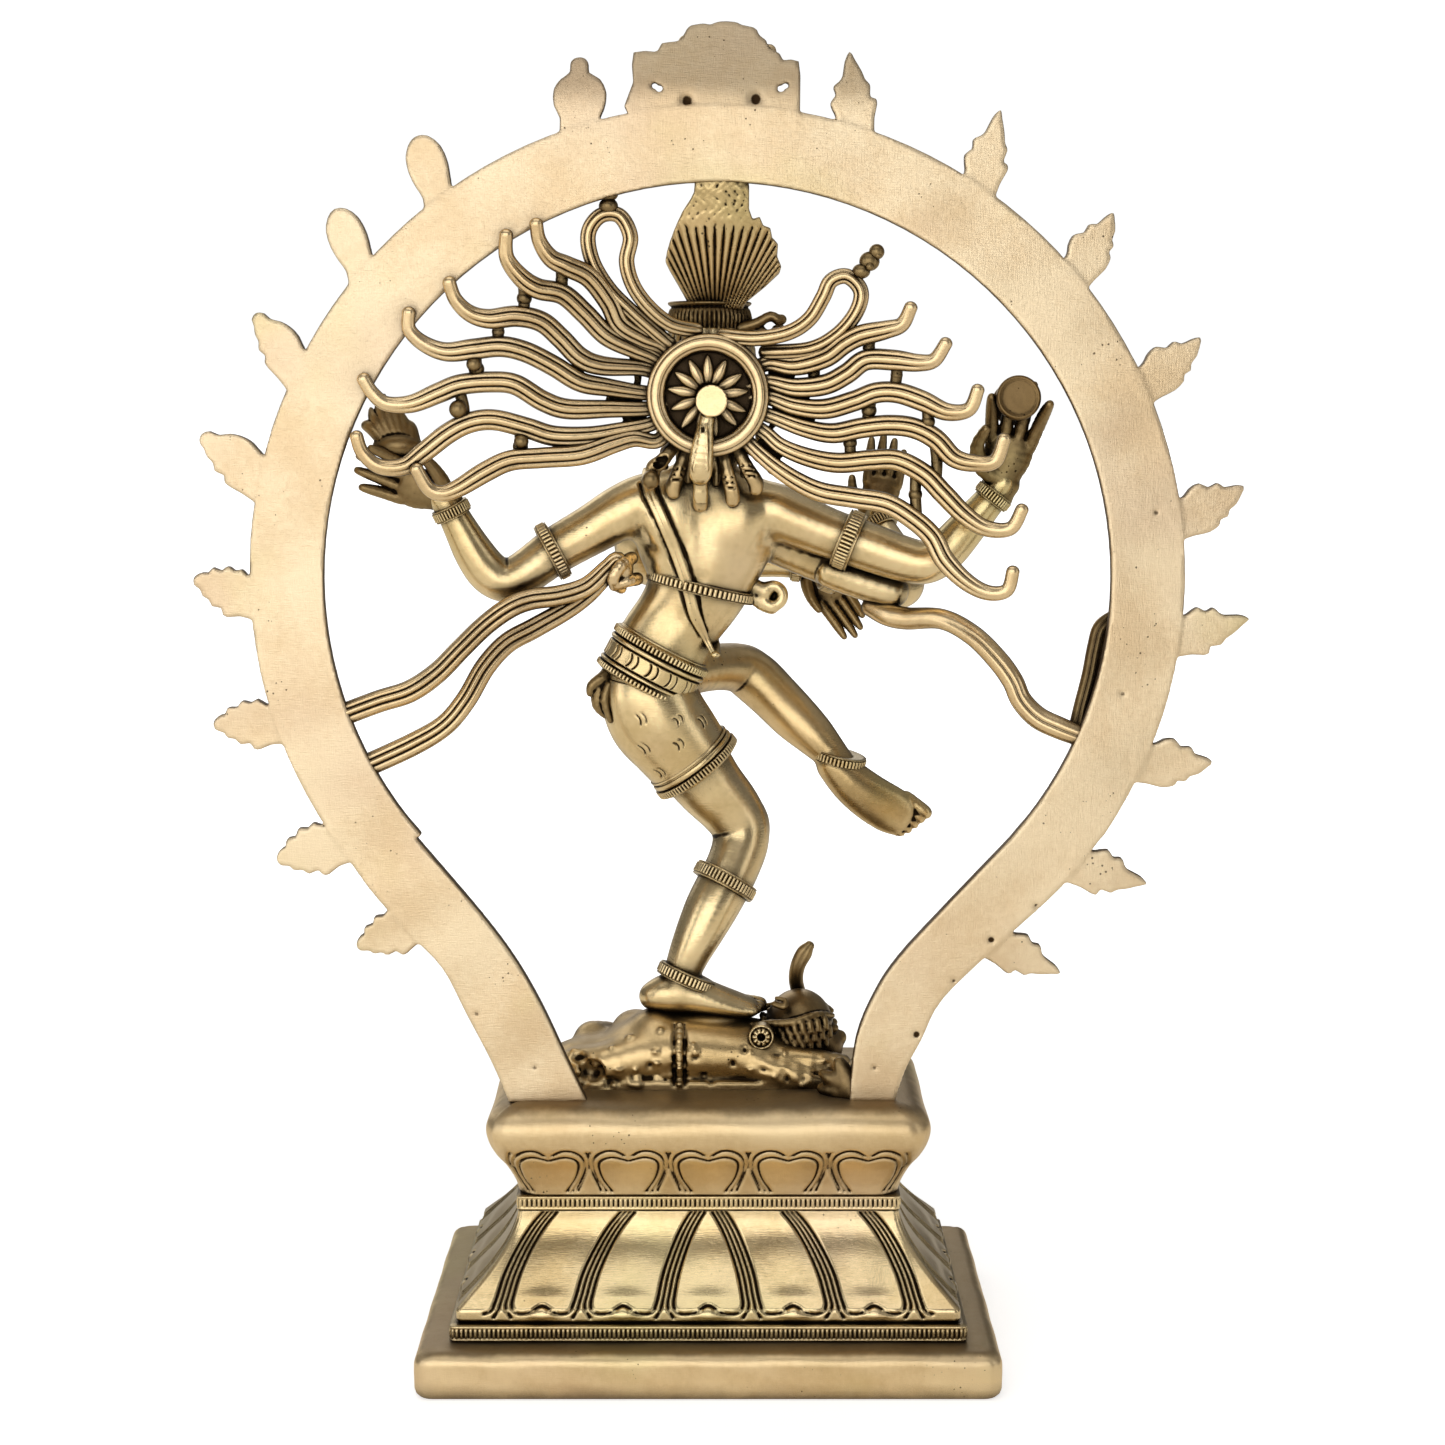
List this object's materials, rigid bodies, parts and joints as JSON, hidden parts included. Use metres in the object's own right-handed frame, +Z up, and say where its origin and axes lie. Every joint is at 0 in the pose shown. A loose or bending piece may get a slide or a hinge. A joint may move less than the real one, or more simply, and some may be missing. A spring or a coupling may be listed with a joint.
{
  "type": "brass nataraja statue",
  "caption": "Four-armed dancer in a flaming ring, balanced on a dwarf above a hollow stepped lotus base, cast in brass and brazed together.",
  "frame": {"origin": "middle of the whole object's outline seen from above, on the surface that the plinth stands on", "axes": "+Z up, the dancer faces -Y, the ring's flat filed back faces +Y, +X to the dancer's left"},
  "size_m": [0.3951, 0.15, 0.5078],
  "materials": {
    "filed_brass": "cast brass, filed flat and polished pale, with fine file marks and small pits",
    "cast_brass": "cast brass, hand chased, bright on high places with dark patina in the recesses",
    "dark_brass": "cast brass left rough, with heavy dark patina",
    "steel": "plain mild steel bolts and nuts, dulled"
  },
  "bodies": {
    "root": {"plinth": "filed_brass", "lower_bead_strip": "cast_brass", "lower_lotus": "cast_brass", "upper_bead_strip": "cast_brass", "lotus_seat": "filed_brass", "dwarf_body": "dark_brass", "dwarf_head": "dark_brass", "dwarf_ear_disc": "cast_brass", "dwarf_snake": "dark_brass", "aureole_ring": "filed_brass", "mask_plate": "filed_brass", "torso": "cast_brass", "head": "cast_brass", "crown_band": "cast_brass", "crown_plume": "dark_brass", "crown_ornament": "dark_brass", "earrings": "cast_brass", "wheel_rim": "cast_brass", "wheel_spokes": "cast_brass", "wheel_boss": "cast_brass", "nape_locks": "dark_brass", "hair_fan_left": "cast_brass", "hair_fan_right": "cast_brass", "drum_arm": "cast_brass", "flame_arm": "cast_brass", "blessing_arm": "cast_brass", "crossing_arm": "cast_brass", "hand_drum": "dark_brass", "hand_flame": "dark_brass", "drum_armlet": "cast_brass", "flame_armlet": "cast_brass", "blessing_armlet": "cast_brass", "drum_bracelet": "cast_brass", "flame_bracelet": "cast_brass", "blessing_bracelet": "cast_brass", "crossing_bracelet": "cast_brass", "necklace": "cast_brass", "chest_band": "cast_brass", "chest_band_loop": "cast_brass", "sacred_thread": "cast_brass", "hip_belt": "cast_brass", "belt_knot": "cast_brass", "dhoti": "cast_brass", "dhoti_hem": "cast_brass", "standing_leg": "cast_brass", "raised_leg": "cast_brass", "knee_band": "cast_brass", "standing_anklet": "cast_brass", "raised_anklet": "cast_brass", "sash_left": "cast_brass", "sash_right": "cast_brass", "sash_curl": "dark_brass", "aureole_bolts": "steel", "dwarf_bolts": "steel", "foot_dowel": "steel"}
  },
  "joints": []
}
